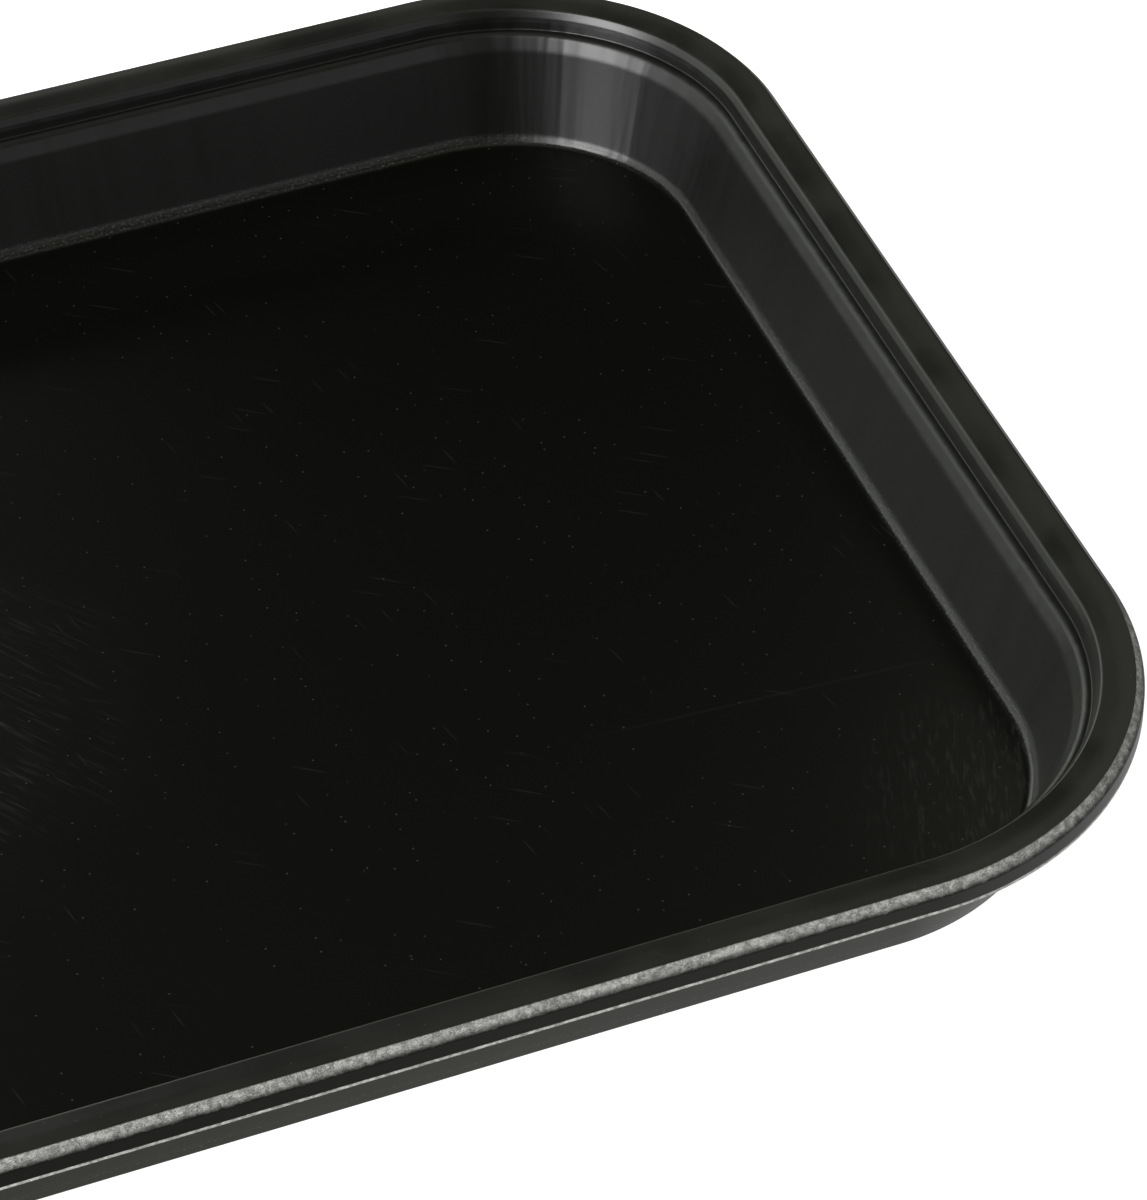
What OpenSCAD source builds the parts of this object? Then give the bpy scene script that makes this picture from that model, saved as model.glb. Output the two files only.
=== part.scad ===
// Shallow moulded tray: a level floor, steep drafted walls with a shoulder near
// their top, and a thick rim bead moulded round four steel corner rods.
// Millimetres, +Z up. The origin is the centre of the underside that it rests on.
// X runs along the long sides and Y along the short sides.

/* [Tray] */
// Length over the rim
tray_length = 457; // [360:1:660]
// Width over the rim
tray_width = 305; // [260:1:460]
// Height from the resting face to the top of the rim
tray_height = 32.3; // [28:0.1:40]
// Corner radius of the rim, seen from above
corner_radius = 65; // [45:1:80]
// Thickness of the floor and of the wall
wall_thickness = 2.6; // [2:0.1:3.4]

/* [Rim] */
// Height of the bead, from its flat underside to the top of the rim
bead_drop = 6.3; // [6:0.1:7.5]
// Width of the bead's top, from its outer face to its inner edge
bead_width = 8.1; // [7.5:0.1:10]
// Radius of the arc that eases the bead's outer face towards its top
ease_radius = 3.2; // [2:0.1:5]
// Angle that this arc turns through before the flat top cuts it off
ease_angle = 60; // [40:1:70]
// Radius of the bead's inner top edge
bead_inner_radius = 1.5; // [0.8:0.1:1.8]
// Draft of the bead's inner face, from the vertical
bead_draft = 20; // [14:1:26]
// Drop from the top of the rim to the foot of the bead's inner face
groove_drop = 5; // [4.6:0.1:5.3]

/* [Wall] */
// Draft of the wall, from the vertical
wall_draft = 16; // [12:0.5:20]
// Draft of the shoulder at the top of the wall, from the vertical
shoulder_draft = 33; // [26:0.5:38]
// Height of the shoulder
shoulder_height = 3.1; // [2.8:0.1:4]
// Radius that rounds the top of the shoulder
shoulder_radius = 2.2; // [1:0.1:2.2]
// Width of the shelf between the bead and the shoulder
shelf_width = 1.6; // [1.6:0.1:2.4]
// Fall of that shelf
shelf_fall = 0.2; // [0.1:0.1:0.6]
// Radius of the cove where the wall meets the floor
cove_radius = 2.6; // [1.5:0.1:5]
// Radius of the outer edge round the underside
heel_radius = 1.2; // [0.6:0.1:2.5]

/* [Corner rods] */
// Diameter of a reinforcing rod
rod_diameter = 3; // [2:0.1:3.4]
// Length of each straight leg of a rod, past its bend
rod_leg = 45; // [20:1:60]

/* [Hidden] */

$fn = 96;
fillet_step = 12;
lip_radius = 0.4;
under_bead_radius = 1.5;
groove_radius = 0.3;
foot_radius = 5;
rod_inset = 4.9;
rod_drop = 3.3;

shell_color = [0.06, 0.06, 0.055];
rod_color = [0.62, 0.63, 0.65];

// Corners in the order front left, front right, back right, back left
corner_x = tray_length / 2 - corner_radius;
corner_y = tray_width / 2 - corner_radius;
corner_centres = [
    [-corner_x, -corner_y, 0], [corner_x, -corner_y, 0],
    [corner_x, corner_y, 0], [-corner_x, corner_y, 0]
];
corner_turns = [180, 270, 0, 90];

// Arc of radius r that rounds the corner at b, on the way from a to c
function unit(v) = v / norm(v);
function turn_of(u, v) = u[0] * v[1] - u[1] * v[0] > 0 ? 1 : -1;
function rounded_corner(a, b, c, r) =
    let (
        back = unit(a - b),
        ahead = unit(c - b),
        half_angle = acos(back * ahead) / 2,
        centre = b + unit(back + ahead) * r / sin(half_angle),
        start = b + back * r / tan(half_angle) - centre,
        sweep = (180 - 2 * half_angle) * turn_of(-back, ahead),
        steps = ceil(abs(sweep) / fillet_step)
    )
    [for (i = [0:steps]) centre + r * [
        cos(atan2(start[1], start[0]) + sweep * i / steps),
        sin(atan2(start[1], start[0]) + sweep * i / steps)
    ]];
// Outline through corners [x, y, radius]; a radius of 0 leaves the corner sharp
function rounded_outline(corners) = [
    for (i = [0:len(corners) - 1])
        let (
            count = len(corners),
            before = corners[(i + count - 1) % count],
            here = corners[i],
            after = corners[(i + 1) % count],
            a = [before[0], before[1]],
            b = [here[0], here[1]],
            c = [after[0], after[1]]
        )
        each (here[2] == 0 ? [b] : rounded_corner(a, b, c, here[2]))
];

// Inner faces, as inset from the tray's outer edge and height
groove_inset = bead_width + groove_drop * tan(bead_draft);
groove_height = tray_height - groove_drop;
shelf_inset = groove_inset + shelf_width;
shelf_height = groove_height - shelf_fall;
shoulder_inset = shelf_inset + shoulder_height * tan(shoulder_draft);
shoulder_foot = shelf_height - shoulder_height;
floor_inset = shoulder_inset + (shoulder_foot - wall_thickness) * tan(wall_draft);
// Outer wall, one thickness outside the inner wall, up to the bead's underside
heel_inset = floor_inset + wall_thickness * tan(wall_draft) - wall_thickness / cos(wall_draft);
bead_underside = tray_height - bead_drop;
armpit_inset = heel_inset - bead_underside * tan(wall_draft);

// Section through rim, wall and floor: x is the distance from the corner's centre
function at(inset, height, r) = [corner_radius - inset, height, r];
ease_steps = ceil(ease_angle / fillet_step);
ease_base = tray_height - ease_radius * sin(ease_angle);
eased_edge = [
    for (i = [0:ease_steps])
        let (turn = ease_angle * i / ease_steps)
        at(ease_radius * (1 - cos(turn)), ease_base + ease_radius * sin(turn), 0)
];
section_outline = rounded_outline([
    at(0, bead_underside, lip_radius),
    each eased_edge,
    at(bead_width, tray_height, bead_inner_radius),
    at(groove_inset, groove_height, groove_radius),
    at(shelf_inset, shelf_height, shoulder_radius),
    at(shoulder_inset, shoulder_foot, foot_radius),
    at(floor_inset, wall_thickness, cove_radius),
    at(corner_radius, wall_thickness, 0),
    at(corner_radius, 0, 0),
    at(heel_inset, 0, heel_radius),
    at(armpit_inset, bead_underside, under_bead_radius)
]);

// Straight run of the section, centred on Y and facing +X
module straight_run(run) {
    translate([0, run / 2, 0])
        rotate([90, 0, 0])
            linear_extrude(run) polygon(section_outline);
}

// Solid of the whole moulding, before the rods' channels are taken out
module moulding() {
    for (i = [0:3])
        translate(corner_centres[i])
            rotate([0, 0, corner_turns[i]])
                rotate_extrude(angle = 90) polygon(section_outline);
    for (side = [0, 180]) {
        rotate([0, 0, side])
            translate([corner_x, 0, 0]) straight_run(2 * corner_y);
        rotate([0, 0, side + 90])
            translate([corner_y, 0, 0]) straight_run(2 * corner_x);
    }
    translate([-corner_x, -corner_y, 0])
        cube([2 * corner_x, 2 * corner_y, wall_thickness]);
}

// Round rod bent round corner i, with a straight leg along each side
module bent_rod(i) {
    bend_radius = corner_radius - rod_inset;
    translate(corner_centres[i] + [0, 0, tray_height - rod_drop])
        rotate([0, 0, corner_turns[i]]) {
            rotate_extrude(angle = 90)
                translate([bend_radius, 0]) circle(d = rod_diameter);
            translate([bend_radius, 0, 0])
                rotate([90, 0, 0]) cylinder(d = rod_diameter, h = rod_leg);
            translate([0, bend_radius, 0])
                rotate([0, -90, 0]) cylinder(d = rod_diameter, h = rod_leg);
        }
}

module tray_shell() {
    color(shell_color) difference() {
        moulding();
        for (i = [0:3]) bent_rod(i);
    }
}

module corner_rod(i) {
    color(rod_color) bent_rod(i);
}

tray_shell();
corner_rod(0);  // corner_rod_front_left
corner_rod(1);  // corner_rod_front_right
corner_rod(2);  // corner_rod_back_right
corner_rod(3);  // corner_rod_back_left
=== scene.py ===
"""Looks of a shallow moulded tray: a glossy glass-fibre shell round four hidden corner rods."""

import bpy
import numpy as np
from mathutils import Matrix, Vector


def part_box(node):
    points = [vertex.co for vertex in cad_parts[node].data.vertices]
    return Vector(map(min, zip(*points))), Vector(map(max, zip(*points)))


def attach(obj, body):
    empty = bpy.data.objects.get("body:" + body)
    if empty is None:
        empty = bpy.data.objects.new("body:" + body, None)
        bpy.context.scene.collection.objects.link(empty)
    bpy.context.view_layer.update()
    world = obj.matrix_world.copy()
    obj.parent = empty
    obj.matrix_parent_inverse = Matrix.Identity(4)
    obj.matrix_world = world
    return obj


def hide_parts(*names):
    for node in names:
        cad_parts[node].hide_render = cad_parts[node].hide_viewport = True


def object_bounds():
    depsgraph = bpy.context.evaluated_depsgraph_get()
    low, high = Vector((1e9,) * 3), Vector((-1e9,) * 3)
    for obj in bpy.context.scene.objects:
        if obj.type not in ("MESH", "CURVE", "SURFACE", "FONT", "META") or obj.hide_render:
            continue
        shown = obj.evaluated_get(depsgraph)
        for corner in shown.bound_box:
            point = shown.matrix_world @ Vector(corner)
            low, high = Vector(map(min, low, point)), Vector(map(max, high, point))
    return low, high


bl_info = {
    "name": "Moulded Tray",
    "version": (1, 0, 0),
    "blender": (4, 5, 0),
    "location": "View3D > Sidebar > Tray",
    "description": "Builds a glossy moulded tray with a sanded rim, and its studio stage",
    "category": "Object",
}

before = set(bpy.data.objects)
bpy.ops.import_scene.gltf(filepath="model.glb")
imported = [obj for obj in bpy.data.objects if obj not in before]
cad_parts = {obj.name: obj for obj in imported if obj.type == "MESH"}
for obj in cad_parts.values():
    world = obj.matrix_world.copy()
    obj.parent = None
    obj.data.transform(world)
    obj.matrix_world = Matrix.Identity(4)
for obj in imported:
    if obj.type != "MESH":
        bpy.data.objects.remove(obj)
CAD_BOX = [list(corner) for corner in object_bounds()]
TRAY_LOW, TRAY_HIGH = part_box("tray_shell")
TRAY_LENGTH = TRAY_HIGH.x - TRAY_LOW.x
TRAY_WIDTH = TRAY_HIGH.y - TRAY_LOW.y
MM = 0.001
RODS = (
    "corner_rod_front_left",
    "corner_rod_front_right",
    "corner_rod_back_right",
    "corner_rod_back_left",
)


# ---------------------------------------------------------------- shader helpers


class Wire:
    """One output socket, with arithmetic that adds Math nodes."""

    def __init__(self, finish, socket):
        self.finish = finish
        self.socket = socket

    def _math(self, operation, *values):
        return self.finish.node("ShaderNodeMath", {"operation": operation}, dict(enumerate(values)))

    def __add__(self, other):
        return self._math("ADD", self, other)

    def __radd__(self, other):
        return self._math("ADD", other, self)

    def __sub__(self, other):
        return self._math("SUBTRACT", self, other)

    def __rsub__(self, other):
        return self._math("SUBTRACT", other, self)

    def __mul__(self, other):
        return self._math("MULTIPLY", self, other)

    def __rmul__(self, other):
        return self._math("MULTIPLY", other, self)

    def __abs__(self):
        return self._math("ABSOLUTE", self)


class Finish:
    """A material or a world, and the short ways of adding to its node tree."""

    def __init__(self, owner, shader="Principled BSDF"):
        self.owner = owner
        owner.use_nodes = True
        self.nodes = owner.node_tree.nodes
        self.links = owner.node_tree.links
        self.shader = self.nodes[shader]

    def node(self, kind, settings=None, inputs=None, output=0):
        """A node: its settings are made first, then the values or links of its sockets."""
        made = self.nodes.new(kind)
        for name, value in (settings or {}).items():
            if name == "stops":
                while len(made.color_ramp.elements) < len(value):
                    made.color_ramp.elements.new(1.0)
                for stop, (place, shade) in zip(made.color_ramp.elements, value):
                    stop.position = place
                    stop.color = (shade, shade, shade, 1.0)
            else:
                setattr(made, name, value)
        for name, value in (inputs or {}).items():
            self.feed(made.inputs[name], value)
        return Wire(self, made.outputs[output])

    def feed(self, socket, value):
        """Links a wire to a socket, or sets the socket's own value."""
        if isinstance(value, Wire):
            self.links.new(value.socket, socket)
        else:
            socket.default_value = value

    def set(self, **values):
        """Values or wires for the shader's sockets, with underscores for the spaces in a name."""
        for name, value in values.items():
            self.feed(self.shader.inputs[name.replace("_", " ")], value)

    def stretched(self, place, scale, turn=0.0):
        """A place that is turned about its third axis, then scaled."""
        turned = self.node(
            "ShaderNodeMapping", {"vector_type": "POINT"}, {"Vector": place, "Rotation": (0, 0, turn)})
        return self.node(
            "ShaderNodeMapping", {"vector_type": "POINT"}, {"Vector": turned, "Scale": scale})

    def noise(self, place, scale, detail=2.0, roughness=0.5):
        """Soft noise from 0 to 1, with that many waves in each unit of place."""
        return self.node(
            "ShaderNodeTexNoise", None,
            {"Vector": place, "Scale": scale, "Detail": detail, "Roughness": roughness})

    def ramp(self, value, low, high, at_low=0.0, at_high=1.0):
        """A smooth step from one level to another as value goes from low to high."""
        return self.node(
            "ShaderNodeMapRange", {"interpolation_type": "SMOOTHSTEP", "clamp": True},
            {"Value": value, "From Min": low, "From Max": high, "To Min": at_low, "To Max": at_high})

    def blend(self, factor, first, second, way="MIX"):
        """The first colour where factor is 0 and, mixed or multiplied, the second where it is 1."""
        return self.node(
            "ShaderNodeMix", {"data_type": "RGBA", "blend_type": way},
            {0: factor, 6: first, 7: second}, 2)

    def distance(self, place, point):
        """How far a place lies from a fixed point."""
        return self.node(
            "ShaderNodeVectorMath", {"operation": "DISTANCE"}, {0: place, 1: point}, "Value")

    def bump(self, height, distance):
        """A normal bent by height, where a height of 1 stands for that distance in metres."""
        return self.node("ShaderNodeBump", None, {"Height": height, "Distance": distance})

    def marks(self, place, turn, long, wide, size, share):
        """Short straight scratches, or specks when long equals wide, of random strength: ellipses
        about scattered points, one to each cell of long by wide, kept only in that share of cells.
        Their half axes are size times long and size times wide."""
        cell = self.stretched(place, (1 / long, 1 / wide, 1), turn)
        settings = {"voronoi_dimensions": "2D"}
        gap = self.node("ShaderNodeTexVoronoi", settings, {"Vector": cell, "Scale": 1.0}, "Distance")
        chance = self.node("ShaderNodeTexVoronoi", settings, {"Vector": cell, "Scale": 1.0}, "Color")
        lot = self.node("ShaderNodeSeparateXYZ", None, {"Vector": chance}, "X")
        return self.ramp(gap, size * 0.5, size, 1.0, 0.0) * self.ramp(lot, 1 - share, 1.0)


# ---------------------------------------------------------------- tray shell

# The section, from the floor over the rim to the underside: how far each corner lies inside the
# tray's outer edge, its height, the radius that rounds it, all in mm, and the steps of that arc
SECTION = (
    (26.0, 2.6, 0.0, 0),  # floor beside the cove
    (19.7, 2.6, 3.0, 14),  # cove
    (13.53, 24.0, 5.0, 6),  # foot of the shoulder
    (11.52, 27.1, 2.2, 10),  # top of the shoulder
    (9.92, 27.3, 0.3, 5),  # groove under the bead
    (9.45, 30.3, 1.2, 6),  # inner face of the bead
    (8.4, 31.9, 0.9, 8),  # inner edge of the rim
    (4.4, 32.3, 14.0, 4),  # crown of the rim
    (1.55, 32.15, 0.35, 4),  # edge between the crown and the sanded band
    (0.0, 30.35, 1.1, 6),  # sanded band to outer face
    (0.0, 26.0, 0.4, 6),  # lower lip
    (10.25, 26.0, 1.5, 5),  # outer wall under the bead
    (17.71, 0.0, 1.2, 6),  # heel
    (26.0, 0.0, 0.0, 0),  # underside beside the heel
)
CROWN_EDGE = 8  # the corner that distances across the section are measured from
FLOOR_RINGS = (1.0, 0.9, 0.7, 0.5, 0.3, 0.12, 0.03)
CORNER_STEPS = 56
LONG_STEPS = 36
SHORT_STEPS = 20
MERGE_STEPS = 1e7  # points in the same ten-millionth of a metre are merged


def rounded_path(corners):
    """An open path through corners (x, y, radius, steps), each rounded by an arc about the point
    that lies radius from both of its sides; also the index of each corner's first point."""
    spots = np.array([c[:2] for c in corners], float)
    pieces, starts = [spots[:1]], [0]
    for before, spot, after, (_, _, radius, steps) in zip(spots, spots[1:], spots[2:], corners[1:]):
        back = (before - spot) / np.linalg.norm(before - spot)
        ahead = (after - spot) / np.linalg.norm(after - spot)
        half = np.arccos(back @ ahead) / 2
        centre = spot + (back + ahead) / np.linalg.norm(back + ahead) * radius / np.sin(half)
        spoke = spot + back * radius / np.tan(half) - centre
        side = np.sign(back[0] * ahead[1] - back[1] * ahead[0])
        turn = -side * (np.pi - 2 * half) * np.linspace(0, 1, steps + 1)
        x = spoke[0] * np.cos(turn) - spoke[1] * np.sin(turn)
        y = spoke[0] * np.sin(turn) + spoke[1] * np.cos(turn)
        starts.append(sum(map(len, pieces)))
        pieces.append(centre + np.c_[x, y])
    starts.append(sum(map(len, pieces)))
    pieces.append(spots[-1:])
    return np.concatenate(pieces), starts


def tightened(path, gap):
    """The path with a point put in at gap from each end of every stretch over four gaps long, so
    that smooth shading stays flat between the arcs."""
    step = np.diff(path, axis=0)
    length = np.linalg.norm(step, axis=1)
    long = np.flatnonzero(length > 4 * gap)
    unit = step[long] / length[long][:, None]
    extra = np.stack([path[long] + unit * gap, path[long + 1] - unit * gap], 1).reshape(-1, 2)
    return np.insert(path, np.repeat(long + 1, 2), extra, axis=0)


def once_round(half_long, half_wide, radius):
    """The tray's plan, anticlockwise: the corner centres' rectangle, the outward direction at each
    of its points, the matching point of the centre line, and the distance run in metres. Corners
    turn about one point, and sides move along the rectangle with one direction."""
    sides = (
        ((half_long, -half_wide), (half_long, half_wide), 0.0, SHORT_STEPS),
        ((half_long, half_wide), (-half_long, half_wide), 90.0, LONG_STEPS),
        ((-half_long, half_wide), (-half_long, -half_wide), 180.0, SHORT_STEPS),
        ((-half_long, -half_wide), (half_long, -half_wide), 270.0, LONG_STEPS),
    )
    core, angle = [], []
    for start, end, facing, steps in sides:
        share = np.linspace(0, 1, steps + 1)[:, None]
        core.append((1 - share) * start + share * np.array(end))
        angle.append(np.full(steps + 1, facing))
        turn = np.linspace(0, 90, CORNER_STEPS + 1)[1:-1]
        core.append(np.broadcast_to(end, (len(turn), 2)))
        angle.append(facing + turn)
    core = np.concatenate(core)
    angle = np.radians(np.concatenate(angle))
    out = np.c_[np.cos(angle), np.sin(angle)]
    reach = half_long - half_wide
    spine = np.c_[core[:, 0] * reach / half_long, np.zeros(len(core))]
    edge = core + radius * out
    run = np.r_[0, np.cumsum(np.linalg.norm(np.diff(edge, axis=0, append=edge[:1]), axis=1))]
    return core, out, spine, run


def shell_surface(corner_radius):
    """Points (ring, place, xyz) and their UV. A ring of the section lies radius less inset from the
    plan's rectangle; the floor's and the underside's rings shrink from there to the centre line."""
    path, starts = rounded_path(SECTION)
    crown_edge = path[starts[CROWN_EDGE]]
    path = tightened(path, 0.25)
    across = np.r_[0, np.cumsum(np.linalg.norm(np.diff(path, axis=0), axis=1))]
    across -= across[np.argmin(np.linalg.norm(path - crown_edge, axis=1))]
    path, across = path * MM, across * MM
    shrink = np.array(FLOOR_RINGS)
    reach = TRAY_WIDTH / 2 - path[0, 0]
    path = np.concatenate([np.repeat(path[:1], len(shrink), 0), path,
                           np.repeat(path[-1:], len(shrink), 0)])
    across = np.concatenate([across[0] - shrink * reach, across, across[-1] + shrink[::-1] * reach])
    mix = np.concatenate([shrink, np.zeros(len(path) - 2 * len(shrink)), shrink[::-1]])
    core, out, spine, run = once_round(
        TRAY_LENGTH / 2 - corner_radius, TRAY_WIDTH / 2 - corner_radius, corner_radius)
    edge = core[None] + (corner_radius - path[:, :1, None]) * out[None]
    flat = edge + mix[:, None, None] * (spine[None] - edge)
    height = np.broadcast_to(path[:, 1:, None], flat.shape[:2] + (1,))
    return np.concatenate([flat, height], 2), across, run


def closed_band(points, across, run, name):
    """A mesh from points (ring, place, xyz) that closes on itself round the places, with a UV map
    of metres run and metres across, and with its first and last rings merged along their line."""
    rings, places = points.shape[:2]
    ring, place = np.meshgrid(np.arange(rings - 1), np.arange(places), indexing="ij")
    ahead = (place + 1) % places
    quads = np.stack([ring * places + place, (ring + 1) * places + place,
                      (ring + 1) * places + ahead, ring * places + ahead], 2).reshape(-1, 4)
    flat = points.reshape(-1, 3)
    rounded = np.round(flat * MERGE_STEPS).astype(np.int64)
    _, first, which = np.unique(rounded, axis=0, return_index=True, return_inverse=True)
    corner = which.reshape(-1)[quads]
    uv = np.stack([np.stack([run[place], run[place], run[place + 1], run[place + 1]], 2),
                   np.stack([across[ring], across[ring + 1], across[ring + 1], across[ring]], 2)], 3)
    uv = uv.reshape(-1, 4, 2)
    keep = corner != np.roll(corner, 1, 1)
    whole = keep.sum(1) >= 3
    corner, uv, keep = corner[whole], uv[whole], keep[whole]
    count = keep.sum(1)
    mesh = bpy.data.meshes.new(name)
    mesh.vertices.add(len(first))
    mesh.vertices.foreach_set("co", flat[first].ravel())
    mesh.loops.add(int(count.sum()))
    mesh.loops.foreach_set("vertex_index", corner[keep])
    mesh.polygons.add(len(count))
    mesh.polygons.foreach_set("loop_start", np.r_[0, np.cumsum(count)[:-1]])
    mesh.polygons.foreach_set("use_smooth", np.ones(len(count), bool))
    layer = mesh.uv_layers.new(name="round_and_across")
    layer.data.foreach_set("uv", uv[keep].ravel())
    mesh.update(calc_edges=True)
    mesh.validate()
    return mesh


# ---------------------------------------------------------------- finishes


# Places on the shell in mm: a height, then distances across the section from the crown's edge, which
# are negative towards the floor, then two points of the floor, the middles of its painted sheen
FLOOR_TOP = SECTION[0][1]
BEAD_INNER_FACE = -9.2
CROWN_INNER_EDGE = -7.0
LOWER_LIP = 6.2
WORN_SHEEN_PLACE = (-8.0, -6.0, FLOOR_TOP)
RUBBED_SHEEN_PLACE = (199.0, -106.0, FLOOR_TOP)


def sanding(f, rim, across, along_y):
    """The mask of the sanded band, and two patterns in it: its fibre, and its light and dark. The
    band runs from the crown's edge down over the outer edge to a ragged lower boundary, and it dies
    out along the short ends, which is painted shade taken from the end that faces away from the light."""
    ragged = f.noise(rim, 0.5, 3.0) + f.noise(rim, 2.2, 2.0) * 0.6 - 0.8
    band = f.ramp(across + ragged, 0.9, 2.7, 1.0, 0.0) * f.ramp(across, -0.15, 0.25)
    # Painted shade: the pale band is left out along the short ends, as the end turned away from the
    # light looked dark
    band = band * f.ramp(abs(along_y), 84, 106)
    blotch = f.ramp(f.noise(rim, 0.62, 3.0, 0.6), 0.36, 0.66)
    fibre = f.ramp(f.noise(f.stretched(rim, (1.0, 1.8, 1.0), 0.15), 1.7, 3.0, 0.65), 0.36, 0.68)
    return band, fibre, blotch * 0.55 + fibre * 0.45


def scattered_marks(f, mm):
    """Sparse scratches in two directions, and specks, that lie on the floor and on the crown."""
    scratch = f.marks(mm, 0.62, 44.0, 2.6, 0.11, 0.2) + f.marks(mm, 1.35, 36.0, 2.4, 0.1, 0.14)
    specks = f.marks(mm, 0.0, 5.0, 5.0, 0.056, 0.5)
    return scratch * 0.007 + specks * 0.035


def floor_marks_and_sheen(f, mm, along_x, along_y):
    """Marks at two places of the floor, and one long faint pale line. Fine scratches crowd together
    round the first place, and short strokes round the second; both places are also painted paler,
    a painted sheen of light spread over their scratches."""
    # Painted sheen with real scratches: round the first place the floor is paler and its fine
    # scratches crowd
    middle = f.distance(mm, WORN_SHEEN_PLACE) + f.noise(mm, 0.05, 1.0) * 26
    worn_and_sheen_zone = f.ramp(middle, 32, 80, 1.0, 0.0)
    hairs = f.noise(f.stretched(mm, (0.1, 1.3, 1.0), 0.95), 1.0, 3.0, 0.6)
    crowded = f.ramp(hairs, 0.5, 0.74) + f.marks(mm, 0.95, 22.0, 1.8, 0.18, 0.6)
    # Painted sheen with real scratches: round the second place the floor is paler and short strokes
    # gather
    rubbed_and_sheen_zone = f.ramp(f.distance(mm, RUBBED_SHEEN_PLACE), 12, 40, 1.0, 0.0)
    strokes = f.noise(f.stretched(mm, (0.24, 1.2, 1.0), -1.24), 1.0, 3.0, 0.6)
    strokes = f.ramp(strokes, 0.5, 0.72)
    # A long faint pale line across the floor
    away = abs(along_y + along_x * 0.0652 + 53.5)
    line = f.ramp(away, 0.15, 0.6, 1.0, 0.0)
    line = line * f.ramp(along_x, 118, 150) * f.ramp(along_x, 192, 204, 1.0, 0.0)
    return worn_and_sheen_zone * (crowded * 0.015 + 0.002) + rubbed_and_sheen_zone * (strokes * 0.011 + 0.001) + line * 0.003


def crown_dulling(f, mm, rim, across, along_x):
    """Masks of the rim's crown and of how far it is dulled, in streaks along its run and in clouds,
    most at its outer edge and towards the short ends."""
    crown = f.ramp(across, CROWN_INNER_EDGE - 0.6, CROWN_INNER_EDGE + 0.6)
    crown = crown * f.ramp(across, -0.4, 0.1, 1.0, 0.0)
    streaks = f.noise(f.stretched(rim, (0.03, 1.6, 1.0)), 1.0, 2.0, 0.6)
    cloud = f.ramp(f.noise(mm, 0.05, 3.0), 0.34, 0.66)
    dull = 0.35 * f.ramp(across, -5.0, -1.0) + streaks * 0.5 + cloud * 0.5
    return crown, dull * crown * f.ramp(abs(along_x), 60, 215, 0.7, 1.15)


def shell_finish(look):
    """Black moulded glass-fibre. Masks across the section, read from the UV map, set where the rim
    is sanded or dulled; patterns over the floor and walls read Object coordinates in mm."""
    f = Finish(bpy.data.materials.new("moulded_glass_fibre"))
    here = f.node("ShaderNodeTexCoord", None, None, "Object")
    mm = f.stretched(here, (1000, 1000, 1000))
    uv = f.node("ShaderNodeUVMap", {"uv_map": "round_and_across"})
    rim = f.stretched(uv, (1000, 1000, 1))
    across = f.node("ShaderNodeSeparateXYZ", None, {"Vector": rim}, "Y")
    along_x = f.node("ShaderNodeSeparateXYZ", None, {"Vector": mm}, "X")
    along_y = f.node("ShaderNodeSeparateXYZ", None, {"Vector": mm}, "Y")
    height = f.node("ShaderNodeSeparateXYZ", None, {"Vector": mm}, "Z")

    band, fibre, mottle = sanding(f, rim, across, along_y)
    crown, dull = crown_dulling(f, mm, rim, across, along_x)
    low = f.ramp(height, FLOOR_TOP + 0.2, FLOOR_TOP + 1.0, 1.0, 0.0)
    inner = f.ramp(across, BEAD_INNER_FACE - 0.8, BEAD_INNER_FACE + 0.8, 1.0, 0.0) * (1 - low)

    # Pale specks in the cove: painted glints that break up its highlight
    cove = f.ramp(height, FLOOR_TOP + 0.02, FLOOR_TOP + 0.3)
    cove = cove * f.ramp(height, FLOOR_TOP + 1.0, FLOOR_TOP + 3.0, 1.0, 0.0)
    cove_glints = f.ramp(f.noise(rim, 1.7, 1.0), 0.5, 0.75)
    # Scratches and specks are real wear; the floor's paler places and the cove's specks added here are
    # painted sheen and painted glints
    wear_and_sheen = scattered_marks(f, mm) * (low + crown)
    wear_and_sheen = wear_and_sheen + low * floor_marks_and_sheen(f, mm, along_x, along_y) + cove * cove_glints * 0.035

    # The lower edge of the lip is as pale as the sanded band: partly its trimmed edge, partly a
    # painted highlight along it
    trimmed_edge_and_highlight = f.ramp(abs(across - LOWER_LIP), 0.25, 0.45, 1.0, 0.0)
    black = f.blend(dull, (*look.black, 1), (*look.dulled, 1))
    black = f.blend(wear_and_sheen, black, (*look.scratches_and_sheen, 1))
    sanded = f.blend(mottle, (*look.sanded_dark, 1), (*look.sanded_pale, 1))
    colour = f.blend(band + trimmed_edge_and_highlight, black, sanded)

    # The mould left upright waves on the inner faces, and sanding left a grain
    waves = f.noise(f.stretched(rim, (0.14, 0.012, 1.0)), 1.0, 2.0) * inner
    gloss = look.roughness + dull * 0.09 - low * 0.06 + waves * 0.16 - inner * 0.03
    rough = gloss * (1 - band) + band * 0.75
    normal = f.bump(waves + fibre * band * 0.5, 0.0003)
    f.set(Base_Color=colour, Roughness=rough, Normal=normal)
    return f.owner


def rod_finish(look):
    """Plain drawn steel: long hairlines along each rod and a little uneven dullness."""
    f = Finish(bpy.data.materials.new("drawn_rod_steel"))
    here = f.node("ShaderNodeTexCoord", None, None, "Object")
    mm = f.stretched(here, (1000, 1000, 1000))
    drawn = f.noise(f.stretched(mm, (0.05, 0.05, 9.0)), 1.0, 3.0)
    dull = f.noise(mm, 0.15, 3.0)
    steel = f.blend(dull, (*[c * 0.8 for c in look.steel], 1), (*look.steel, 1))
    rough = drawn * 0.2 + dull * 0.15 + 0.2
    f.set(Base_Color=steel, Metallic=1.0, Roughness=rough, Normal=f.bump(drawn, 0.00003))
    return f.owner


def floor_finish(stage):
    """A plain pale floor that is lit through from below, so the tray's shadow stays faint."""
    f = Finish(bpy.data.materials.new("pale_floor"))
    f.set(Base_Color=(0.6, 0.6, 0.6, 1), Roughness=0.9)
    f.set(Emission_Color=(1, 1, 1, 1), Emission_Strength=stage.floor_glow)
    return f.owner


# ---------------------------------------------------------------- settings


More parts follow.
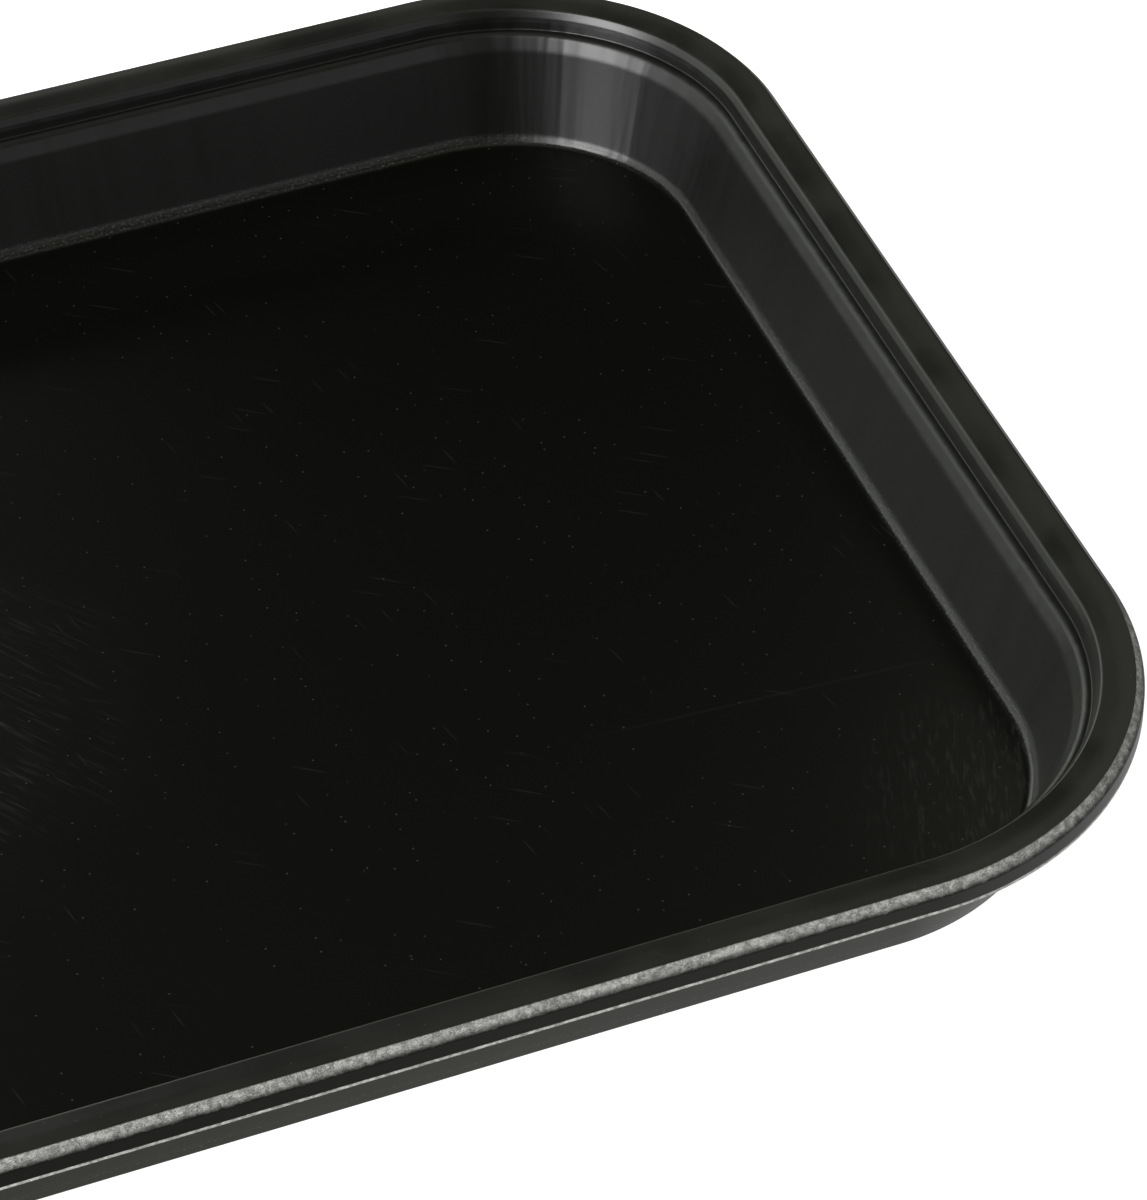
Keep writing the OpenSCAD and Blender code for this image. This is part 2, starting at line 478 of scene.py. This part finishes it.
class TrayShellLook(bpy.types.PropertyGroup):
    corner_radius: bpy.props.FloatProperty(
        name="Corner radius", description="Radius of the rim's corners, seen from above",
        default=0.065, min=0.045, max=0.08, unit="LENGTH", subtype="DISTANCE")
    black: bpy.props.FloatVectorProperty(
        name="Body colour", description="Colour of the moulded glass-fibre",
        default=(0.0011, 0.0013, 0.0008), subtype="COLOR", size=3, min=0, max=1)
    dulled: bpy.props.FloatVectorProperty(
        name="Dulled", description="Colour of the body where stacking has dulled the rim",
        default=(0.013, 0.013, 0.011), subtype="COLOR", size=3, min=0, max=1)
    # Scratches and specks tend to this colour, and so do the floor's painted sheen and the cove's
    # painted glints
    scratches_and_sheen: bpy.props.FloatVectorProperty(
        name="Scratched", description="Colour that the scratches, specks and grit tend to",
        default=(0.8, 0.8, 0.76), subtype="COLOR", size=3, min=0, max=1)
    sanded_dark: bpy.props.FloatVectorProperty(
        name="Sanded, dark", description="Darkest shade of the sanded band",
        default=(0.13, 0.13, 0.12), subtype="COLOR", size=3, min=0, max=1)
    sanded_pale: bpy.props.FloatVectorProperty(
        name="Sanded, pale", description="Palest shade of the sanded band",
        default=(0.54, 0.55, 0.52), subtype="COLOR", size=3, min=0, max=1)
    roughness: bpy.props.FloatProperty(
        name="Roughness", description="Roughness of the moulded surface before wear",
        default=0.31, min=0.05, max=0.6, subtype="FACTOR")


class CornerRodLook(bpy.types.PropertyGroup):
    steel: bpy.props.FloatVectorProperty(
        name="Steel", description="Colour of the rods inside the rim",
        default=(0.55, 0.56, 0.58), subtype="COLOR", size=3, min=0, max=1)


class TrayStage(bpy.types.PropertyGroup):
    floor_size: bpy.props.FloatProperty(
        name="Floor size", description="Side of the square floor",
        default=12.0, min=2, max=40, unit="LENGTH", subtype="DISTANCE")
    floor_glow: bpy.props.FloatProperty(
        name="Floor glow", description="Light that the floor gives off by itself",
        default=1.0, min=0, max=2)
    key_glow: bpy.props.FloatProperty(
        name="Key light", description="Brightness of the tall softbox on the left",
        default=12.0, min=0, max=60)
    fill_glow: bpy.props.FloatProperty(
        name="Fill light", description="Brightness of the low panel on the right",
        default=0.65, min=0, max=10)


# ---------------------------------------------------------------- operators


class TRAY_OT_shell(bpy.types.Operator):
    """Builds the moulded shell and gives it its finish"""

    bl_idname = "tray.shell"
    bl_label = "Build the shell"

    def execute(self, context):
        look = context.scene.tray_shell
        points, across, run = shell_surface(look.corner_radius)
        mesh = closed_band(points, across, run, "moulded_shell")
        shell = bpy.data.objects.new("moulded_shell", mesh)
        context.scene.collection.objects.link(shell)
        mesh.materials.append(shell_finish(look))
        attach(shell, "root")
        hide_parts("tray_shell")
        return {"FINISHED"}


class TRAY_OT_rods(bpy.types.Operator):
    """Gives the four corner rods their steel"""

    bl_idname = "tray.rods"
    bl_label = "Finish the corner rods"

    def execute(self, context):
        steel = rod_finish(context.scene.tray_rods)
        for name in RODS:
            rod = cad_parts[name]
            rod.data.materials.clear()
            rod.data.materials.append(steel)
        return {"FINISHED"}


FLOOR_GAP = 0.0002  # the floor's drop below the tray, in metres
LIT_POINT = (0.2, 0.13)  # where the lights' azimuths meet, in the back right corner, in metres
WHITE = (1.0, 1.0, 1.0)
OLIVE = (0.97, 1.0, 0.8)
LEAF = (0.95, 1.0, 0.93)

# Camera: its lens and sensor in mm, its place in metres, and its turns in degrees, which are yaw
# from +Y towards +X, pitch below the level and roll to the right
CAMERA_LENS = 139.716
CAMERA_SENSOR = 36.0
CAMERA_PLACE = (-0.0925, -0.6911, 0.6495)
CAMERA_TURNS = (19.081, 42.441, 2.073)


def lay_floor(scene, stage):
    """A level square floor just under the tray, which reflections don't show."""
    half = stage.floor_size / 2
    low = CAD_BOX[0][2] - FLOOR_GAP
    corners = [(-half, -half, low), (half, -half, low), (half, half, low), (-half, half, low)]
    mesh = bpy.data.meshes.new("studio_floor")
    mesh.from_pydata(corners, [], [(0, 1, 2, 3)])
    mesh.materials.append(floor_finish(stage))
    floor = bpy.data.objects.new("studio_floor", mesh)
    scene.collection.objects.link(floor)
    floor.visible_glossy = False


def softbox(scene, name, azimuth, span, low, high, away, glow, tint):
    """An upright panel of even brightness, in the same units as a glowing surface. Its middle is at
    that azimuth in degrees, from -Y towards -X, as seen from the lit point, and span wide; low and
    high are its edges' angles over the table, and away its distance in metres."""
    facing = np.radians(azimuth)
    out = np.array((-np.sin(facing), -np.cos(facing), 0.0))
    foot, head = away * np.tan(np.radians((low, high)))
    light = bpy.data.lights.new(name, "AREA")
    light.shape = "RECTANGLE"
    light.size = 2 * away * np.tan(np.radians(span / 2))
    light.size_y = head - foot
    light.energy = glow * np.pi * light.size * light.size_y
    light.color = tint
    middle = np.array((*LIT_POINT, (foot + head) / 2)) + away * out
    side = np.cross((0, 0, 1), out)
    lamp = bpy.data.objects.new(name, light)
    lamp.matrix_world = Matrix.Translation(middle) @ Matrix(
        np.c_[side, (0, 0, 1), out].tolist()).to_4x4()
    lamp.visible_camera = False
    scene.collection.objects.link(lamp)


def surroundings(scene):
    """A dim studio: dark above the horizon, softer overhead, and below it a dark table that is paler
    straight down and towards +X."""
    f = Finish(bpy.data.worlds.new("dim_studio"), "Background")
    way = f.node("ShaderNodeTexCoord", None, None, "Generated")
    rise = f.node("ShaderNodeSeparateXYZ", None, {"Vector": way}, "Z")
    east = f.node("ShaderNodeSeparateXYZ", None, {"Vector": way}, "X")
    level = f.node(
        "ShaderNodeValToRGB",
        {"stops": ((0.0, 0.4), (0.06, 0.22), (0.2, 0.1), (0.48, 0.12), (0.55, 0.1),
                   (0.7, 0.01), (0.86, 0.014), (1.0, 0.35))},
        {"Fac": rise * 0.5 + 0.5})
    right = f.ramp(east, 0.1, 0.4) * f.ramp(rise, -0.4, -0.2, 0.6, 0.0)
    tinted = f.blend(1.0, level, (1.0, 1.0, 0.86, 1), "MULTIPLY")
    f.set(Color=f.blend(right, tinted, (1, 1, 1, 1)), Strength=1.0)
    scene.world = f.owner


def set_camera(scene):
    """A camera turned by yaw, pitch and roll: it looks ahead, and its right and downward sides are
    the level side and the one below it, turned by the roll."""
    camera = bpy.data.objects.new("camera", bpy.data.cameras.new("camera"))
    camera.data.lens = CAMERA_LENS
    camera.data.sensor_width = CAMERA_SENSOR
    camera.data.clip_start = 0.01
    yaw, pitch, roll = np.radians(CAMERA_TURNS)
    ahead = np.array((np.sin(yaw) * np.cos(pitch), np.cos(yaw) * np.cos(pitch), -np.sin(pitch)))
    level = np.array((np.cos(yaw), -np.sin(yaw), 0))
    down = np.cross(ahead, level)
    right = np.cos(roll) * level + np.sin(roll) * down
    below = -np.sin(roll) * level + np.cos(roll) * down
    turn = Matrix(np.c_[right, -below, -ahead].tolist()).to_4x4()
    camera.matrix_world = Matrix.Translation(CAMERA_PLACE) @ turn
    scene.collection.objects.link(camera)
    scene.camera = camera


class TRAY_OT_stage(bpy.types.Operator):
    """Sets the floor, the lights, the surroundings and the camera"""

    bl_idname = "tray.stage"
    bl_label = "Set the stage"

    def execute(self, context):
        scene, stage = context.scene, context.scene.tray_stage
        lay_floor(scene, stage)
        surroundings(scene)
        softbox(scene, "key_softbox", 67, 27, 9, 54, 1.3, stage.key_glow, WHITE)
        softbox(scene, "front_fill", -22, 48, 0, 42, 1.5, stage.fill_glow, WHITE)
        softbox(scene, "key_halo", 81, 54, 10, 56, 1.6, 1.2, WHITE)
        softbox(scene, "left_panel", 145, 80, 4, 38, 1.5, 1.5, LEAF)
        softbox(scene, "back_drop", -170, 70, 2, 18, 1.5, 0.8, OLIVE)
        softbox(scene, "back_right_glow", -124, 44, 42, 64, 1.2, 0.6, OLIVE)
        set_camera(scene)
        scene.view_settings.view_transform = "Standard"
        return {"FINISHED"}


class TRAY_PT_panel(bpy.types.Panel):
    """Sizes, colours and lights of the tray"""

    bl_idname = "TRAY_PT_panel"
    bl_label = "Moulded tray"
    bl_space_type = "VIEW_3D"
    bl_region_type = "UI"
    bl_category = "Tray"

    def draw(self, context):
        groups = (
            ("tray.shell", context.scene.tray_shell),
            ("tray.rods", context.scene.tray_rods),
            ("tray.stage", context.scene.tray_stage),
        )
        for operator, group in groups:
            box = self.layout.box()
            for name in group.bl_rna.properties.keys():
                if name not in ("rna_type", "name"):
                    box.prop(group, name)
            box.operator(operator)


CLASSES = (
    TrayShellLook,
    CornerRodLook,
    TrayStage,
    TRAY_OT_shell,
    TRAY_OT_rods,
    TRAY_OT_stage,
    TRAY_PT_panel,
)


def register():
    for each in CLASSES:
        bpy.utils.register_class(each)
    bpy.types.Scene.tray_shell = bpy.props.PointerProperty(type=TrayShellLook)
    bpy.types.Scene.tray_rods = bpy.props.PointerProperty(type=CornerRodLook)
    bpy.types.Scene.tray_stage = bpy.props.PointerProperty(type=TrayStage)


def unregister():
    del bpy.types.Scene.tray_stage
    del bpy.types.Scene.tray_rods
    del bpy.types.Scene.tray_shell
    for each in reversed(CLASSES):
        bpy.utils.unregister_class(each)


def main():
    register()
    bpy.ops.tray.shell()
    bpy.ops.tray.rods()
    bpy.ops.tray.stage()


if __name__ == "__main__":
    main()
